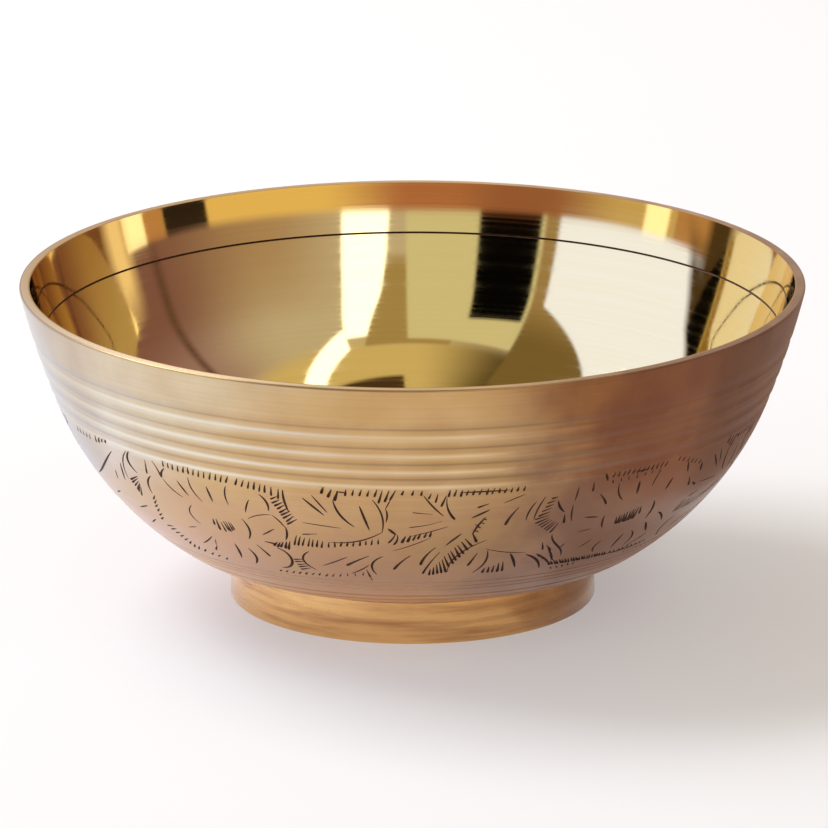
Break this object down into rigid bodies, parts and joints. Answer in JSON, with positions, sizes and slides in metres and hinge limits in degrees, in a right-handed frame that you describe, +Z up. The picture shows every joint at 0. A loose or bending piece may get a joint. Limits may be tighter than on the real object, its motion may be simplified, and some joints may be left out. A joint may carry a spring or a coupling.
{
  "type": "offering bowl",
  "caption": "Round brass bowl on a low foot ring, mirror polished inside, satin turned and engraved with flowers outside, to hold offerings such as water, flowers or fruit.",
  "frame": {"origin": "centre of the circle on which the foot ring stands, at table level", "axes": "+Z up along the bowl's axis of turning; X and Y level, -Y towards the picture's viewer"},
  "size_m": [0.1498, 0.1498, 0.0615],
  "materials": {
    "turned_brass": "satin lathe-turned outside with dark engraved lines, mirror polished inside",
    "foot_brass": "satin, turned",
    "brazing_solder": "dull, as flowed"
  },
  "bodies": {
    "root": {"bowl_shell": "turned_brass", "foot_ring": "foot_brass", "solder_seam": "brazing_solder"}
  },
  "joints": []
}
